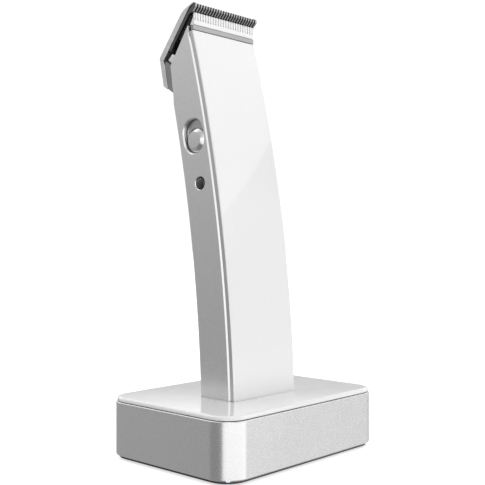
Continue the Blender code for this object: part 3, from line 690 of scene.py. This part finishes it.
def make_panel():
    front, back = HANDLE_FRONT, RIM - 0.0001
    top = arc_length_at(front, PANEL_TOP)
    bar = handle_arc(front, -INSERTED, top) + list(reversed(handle_arc(back, -INSERTED, top)))
    width = HANDLE_WIDTH - 0.0008

    def front_edge(a, b):
        return long_edge(a, b, width) and in_front(a, b, (front + back) / 2)

    mesh = bevel(across([bar], width), front_edge, 0.0006, 5)
    low, high = -INSERTED + 0.0002, top - 0.0010
    tongue = handle_arc(back - 0.0006, low, high, 24)
    tongue += reversed(handle_arc(RIM - 0.0002, low, high, 24))
    tongue = across([tongue], HANDLE_WIDTH - 2 * WALL - 0.0006)
    mesh = combined(mesh, "UNION", [(tongue, STILL)])
    obj = piece("handle_panel", mesh, WHITE, "clipper", ["front_panel"])
    # The panel's side faces get the darker grey: trim colour plus painted shade.
    paint_side_shade(obj, PANEL_SIDE_TRIM_AND_SHADE, 0.85)


def make_bezel():
    outline = [(0.0091, 0.14558), (0.0091, 0.14365), (0.0104, 0.1434), (0.0106, 0.1452)]
    strip = across([all_above_dock(outline)], 0.0353)
    piece("mouth_bezel", strip, BEZEL_SILVER, "clipper", ["top_bezel"], 0.0002, 3)


def make_switch_dish():
    loops = [oval(0.0118, 0.0156), rounded_rectangle(0.0032, 0.0060, 0.0002)]
    dish = prism(loops, 0.0008, ALONG_X)
    dish.transform(handle_frame(SWITCH_AT, SWITCH_N, LEFT + WALL + 0.0007))
    # The dish's darker silver paints the shade inside the switch recess.
    piece("switch_dish", dish, DISH_PAINTED_SHADE, "clipper", ["switch_tray"], 0.0001, 2)


def make_switch_cap():
    profile = [(0.0, 0.0015), (0.0032, 0.0015), (0.0034, 0.00145), (0.0046, 0.00050)]
    profile += [(0.0048, 0.00030), (0.0049, 0.00012), (0.0049, 0.0), (0.0, 0.0)]
    rest = SWITCH_FLANK @ Matrix.Translation((0.0016, 0, SWITCH_REST))
    cap = lathe(profile, 72, rest @ FACE_LEFT)
    stem = box((0.0018, 0.0024, 0.0024), rest @ Matrix.Translation((0.0005, 0, 0)))
    cap = combined(cap, "UNION", [(stem, STILL)])
    piece("switch_cap", cap, CHROME, "switch", ["switch_button"], sharp=50)


def make_lamp():
    dome = [(0.0, 0.0026), (0.0008, 0.00257), (0.0016, 0.00245), (0.0020, 0.0023)]
    dome += [(0.0022, 0.0020), (0.0022, 0.0), (0.0, 0.0)]
    lens = lathe(dome, 48, handle_frame(LAMP_AT, LAMP_N, LEFT + 0.0025) @ FACE_LEFT)
    piece("lamp_lens", lens, LENS, "clipper", ["indicator_lens"], sharp=50)


# Cutting head --------------------------------------------------------------------------------------

COMB_SLOT, COMB_MOUTH = 0.0006, 0.0010
BLADE_SCREW_P, BLADE_SCREW_X = 0.0145, 0.0120
CHEEK, LUG = 0.0011, 0.0025
BASE_WIDTH, BARREL_WIDTH = 0.0354, 0.0220


def comb_outline():
    """The comb seen face on, every slot widening from its root at v = -0.0005 to its mouth."""
    width, tip, root, end = BLADE_WIDTH + 0.0010, 0.0080, -0.0005, -0.0200
    half = width / 2
    points = [(half, end), (half, tip)]
    for i in range(TEETH):
        middle = half - (width - TOOTH_PITCH * (TEETH - 1)) / 2 - TOOTH_PITCH * i
        points += [(middle + COMB_MOUTH / 2, tip), (middle + COMB_SLOT / 2, root)]
        points += [(middle - COMB_SLOT / 2, root), (middle - COMB_MOUTH / 2, tip)]
    return points + [(-half, tip), (-half, end)]


def make_comb():
    teeth = [(0.0083, 0.15372), (0.0080, 0.15378), (0.0076, 0.1533), (0.0077, 0.1523)]
    teeth += [(0.0093, 0.1507)]
    plate = [(0.0, 0.0), (0.0168, 0.0), (0.0168, 0.0012), (0.0, 0.0012), (-0.0020, 0.0009)]
    comb = across([all_above_dock(teeth) + all_on_blade(plate)], BLADE_WIDTH)
    face = prism([comb_outline()], 0.0100, Matrix.Rotation(math.pi, 4, "Z"))
    comb = combined(comb, "INTERSECT", [(face, blade_frame(0.0, 0.0))])
    hole = prism([circle(0.00125)], 0.0040)
    holes = [(hole, blade_frame(BLADE_SCREW_P, -0.0010, side * BLADE_SCREW_X)) for side in (-1, 1)]
    comb = combined(comb, "DIFFERENCE", holes)
    obj = piece(
        "comb_blade", comb, STEEL, "blade_head", ["fixed_blade"], 0.00004, 1
    )
    # The comb's side walls get the near-black steel: painted shade between the teeth.
    paint_side_shade(obj, FLANK_PAINTED_SHADE, 0.6)


def make_cover():
    section = [(-0.0036, 0.0016), (-0.0024, 0.00225), (-0.0003, 0.0036), (0.0022, 0.00413)]
    section += [(0.0218, 0.00413), (0.0228, 0.0037), (0.0219, 0.0015)]
    cover = across([all_on_blade(section)], BLADE_WIDTH)
    cheek = [(-0.0053, 0.00055), (-0.0047, 0.0011), (-0.00245, 0.00235), (-0.0003, 0.0036)]
    cheek += [(0.0012, 0.0030), (0.0012, 0.0016), (-0.0028, 0.00155), (-0.0052, 0.0003)]
    cheek = all_on_blade(cheek)
    sides = [across([cheek], CHEEK, side * (BLADE_WIDTH - CHEEK) / 2) for side in (-1, 1)]
    cover = combined(cover, "UNION", [(side, STILL) for side in sides])
    piece(
        "comb_cover", cover, COVER_SILVER, "blade_head", ["blade_cover"], 0.00015, 2
    )


def make_heel():
    outline = [(0.02855, 0.1342), (0.0263, 0.1233), (0.0241, 0.1218), (0.0239, 0.1223)]
    outline += [(0.0257, 0.1317), (0.0263, 0.1335)]
    heel = across([all_above_dock(outline)], BLADE_WIDTH)
    piece("heel_cover", heel, COVER_SILVER, "blade_head", ["head_heel"], 0.0002, 3)


def make_base():
    outline = [(0.0210, 0.1212), (0.0212, 0.1230), (0.02225, 0.1307), (0.0223, 0.1311)]
    outline += [(0.0250, 0.1331), (0.0255, 0.1326), (0.02565, 0.1316), (0.0238, 0.1224)]
    outline += [(0.0228, 0.1213)]
    base = across([all_above_dock(outline)], BASE_WIDTH)
    web = [(0.0200, 0.1206), (0.0208, 0.1190), (0.0228, 0.1213), (0.0222, 0.1222)]
    web += [(0.0212, 0.1222)]
    pivot = above_dock(*HEAD_PIVOT)
    added = [
        across([circle(0.00145, pivot, 40)], BARREL_WIDTH),
        across([all_above_dock(web)], BARREL_WIDTH),
    ]
    lug = all_above_dock([(0.0210, 0.1201), (0.0212, 0.1230), (0.0228, 0.1230), (0.0226, 0.1211)])
    added += [across([lug], LUG, side * (BASE_WIDTH - LUG) / 2) for side in (-1, 1)]
    base = combined(base, "UNION", [(mesh, STILL) for mesh in added])
    bore = across([circle(0.00085, pivot, 32)], 0.0300)
    base = combined(base, "DIFFERENCE", [(bore, STILL)])
    piece("base_block", base, GREY, "blade_head", ["head_base"], 0.0002, 2)


def make_seat():
    outline = [(0.0220, 0.1361), (0.01945, 0.13475), (0.02175, 0.13135), (0.0247, 0.1337)]
    seat = across([all_above_dock(outline)], CERAMIC_WIDTH)
    piece("seat_block", seat, BRIGHT, "blade_head", ["blade_seat"], 0.0005, 3)


# Inside pieces and the ceramic comb, which keep their CAD meshes -------------------------------------

CARRIED = {
    "socket_well": NATURAL,
    "dock_base_plate": CHARCOAL,
    "charge_board": BOARD,
    "dc_jack": BLACK,
    "end_cap": NATURAL,
    "inner_chassis": CHARCOAL,
    "battery_strap": BRIGHT,
    "motor": BRIGHT,
    "lever_pivot_pin": BRIGHT,
    "control_board": BOARD,
    "indicator_lamp": NATURAL,
    "hinge_bracket": CHARCOAL,
    "head_hinge_pin": BRIGHT,
    "motor_shaft": BRIGHT,
    "eccentric_cam": NATURAL,
    "drive_lever": NATURAL,
    "blade_spring": BRIGHT,
    "moving_blade": CERAMIC,
    "blade_carrier": BLACK,
}
CARRIED_GROUPS = {
    "foot_": RUBBER,
    "dock_screw_": BRIGHT,
    "blade_screw_": BRIGHT,
    "pin_barrel_": GOLD,
    "charge_pin_": GOLD,
    "charge_contact_": GOLD,
    "battery_cell_": CELL,
}


def finish_carried_nodes():
    for name, obj in NODES.items():
        material = CARRIED.get(name)
        for start, shared in CARRIED_GROUPS.items():
            if name.startswith(start):
                material = shared
        if material is None:
            continue
        if not obj.material_slots:
            obj.data.materials.append(material)
        for slot in obj.material_slots:
            slot.material = material


# Studio --------------------------------------------------------------------------------------------

FLOOR_GREY, FLOOR_GLOW = 0.80, 0.62
BACKDROP = 1.05
# The room's own light grows from the low to the high strength between two elevations in degrees.
AMBIENT_LOW, AMBIENT_HIGH = 0.24, 0.62
AMBIENT_FROM, AMBIENT_TO = -18, 45
# Soft boxes by direction, in degrees: azimuth, half width, elevation, half height, softness, slant
# of the lower and upper edges, strength.
SOFT_BOXES = [
    (110, 34, 0, 80, 24, 0.0, 0.14),
    (120, 40, 36, 26, 16, 0.0, 0.12),
    (256, 53, -4, 22, 6, 0.0, 1.1),
    (232, 24, 34, 13, 6, 0.0, 0.8),
    (335, 30, -8, 24, 8, 0.0, 0.56),
    (322, 16, 33.2, 14, 0.6, 1.2, 1.1),
    (43, 70, 22, 11.5, 2.0, 0.0, 0.8),
    (100, 30, 52, 14, 8, 0.0, 0.9),
    (0, 181, 80, 20, 10, 0.0, 0.3),
    (335, 50, -60, 34, 8, 0.0, 0.3),
]
SENSOR_WIDTH, FOCAL_LENGTH, SHIFT_Y = 36.0, 63.2041, -0.0037
CAMERA_PLACE, CAMERA_TURN = (-0.2532, -0.2324, DOCK_TOP + 0.0605), math.radians(-47.2)


def make_floor():
    shape = bmesh.new()
    bmesh.ops.create_grid(shape, x_segments=1, y_segments=1, size=4.0)
    floor = bpy.data.objects.new("studio_floor", to_mesh(shape))
    bpy.context.scene.collection.objects.link(floor)
    floor.location = (0, 0, -0.0002)
    made = Recipe("studio_floor_white", grey(FLOOR_GREY), 0.9, 0.0)
    made.vary(made.noise(3, 2.0), 0.005)
    made.surface.inputs["Emission Color"].default_value = (1, 1, 1, 1)
    made.surface.inputs["Emission Strength"].default_value = FLOOR_GLOW
    made.surface.inputs["Specular IOR Level"].default_value = 0.0
    floor.data.materials.append(made.done())
    floor.visible_glossy = False
    floor.visible_diffuse = False
    floor.visible_shadow = False


def make_world():
    world = bpy.data.worlds.new("studio")
    bpy.context.scene.world = world
    world.use_nodes = True
    tree = world.node_tree
    background = tree.nodes["Background"]
    place = tree.nodes.new("ShaderNodeTexCoord")
    split = tree.nodes.new("ShaderNodeSeparateXYZ")
    tree.links.new(place.outputs["Generated"], split.inputs[0])

    def join(operation, *values):
        step = tree.nodes.new("ShaderNodeMath")
        step.operation = operation
        for socket, value in zip(step.inputs, values):
            if isinstance(value, (int, float)):
                socket.default_value = value
            else:
                tree.links.new(value, socket)
        return step.outputs[0]

    def ramp(value, start, end, low=0.0, high=1.0):
        step = tree.nodes.new("ShaderNodeMapRange")
        step.interpolation_type = "SMOOTHSTEP"
        for socket, limit in zip(("From Min", "From Max", "To Min", "To Max"), (start, end, low, high)):
            step.inputs[socket].default_value = limit
        tree.links.new(value, step.inputs["Value"])
        return step.outputs["Result"]

    def within(offset, half, soft):
        return ramp(join("ABSOLUTE", offset), half + soft / 2, half - soft / 2)

    azimuth = join("DEGREES", join("ARCTAN2", split.outputs["Y"], split.outputs["X"]))
    elevation = join("DEGREES", join("ARCSINE", split.outputs["Z"]))
    light = ramp(elevation, AMBIENT_FROM, AMBIENT_TO, AMBIENT_LOW, AMBIENT_HIGH)
    for at, half, up, tall, soft, slant, strength in SOFT_BOXES:
        turned = join("FLOORED_MODULO", join("SUBTRACT", azimuth, at - 180), 360)
        turned = join("SUBTRACT", turned, 180)
        lifted = join("SUBTRACT", elevation, join("MULTIPLY", turned, slant))
        upward = within(join("SUBTRACT", lifted, up), tall, soft)
        inside = join("MULTIPLY", within(turned, half, soft), upward)
        light = join("ADD", light, join("MULTIPLY", strength, inside))
    rays = tree.nodes.new("ShaderNodeLightPath")
    shown = tree.nodes.new("ShaderNodeMix")
    tree.links.new(rays.outputs["Is Camera Ray"], shown.inputs["Factor"])
    tree.links.new(light, shown.inputs["A"])
    shown.inputs["B"].default_value = BACKDROP
    tree.links.new(shown.outputs["Result"], background.inputs["Strength"])
    background.inputs["Color"].default_value = (1, 1, 1, 1)


def make_camera():
    lens = bpy.data.cameras.new("camera")
    camera = bpy.data.objects.new("camera", lens)
    bpy.context.scene.collection.objects.link(camera)
    lens.sensor_width = SENSOR_WIDTH
    lens.lens = FOCAL_LENGTH
    lens.clip_start = 0.01
    lens.clip_end = 50
    lens.dof.use_dof = False
    lens.shift_y = SHIFT_Y
    camera.location = CAMERA_PLACE
    camera.rotation_euler = (math.radians(90), 0, CAMERA_TURN)
    bpy.context.scene.camera = camera


make_dock_body()
make_dock_deck()
make_casing()
make_panel()
make_bezel()
make_switch_dish()
make_switch_cap()
make_lamp()
make_comb()
make_cover()
make_heel()
make_base()
make_seat()
finish_carried_nodes()
make_floor()
make_world()
make_camera()
bpy.context.scene.view_settings.view_transform = "Standard"
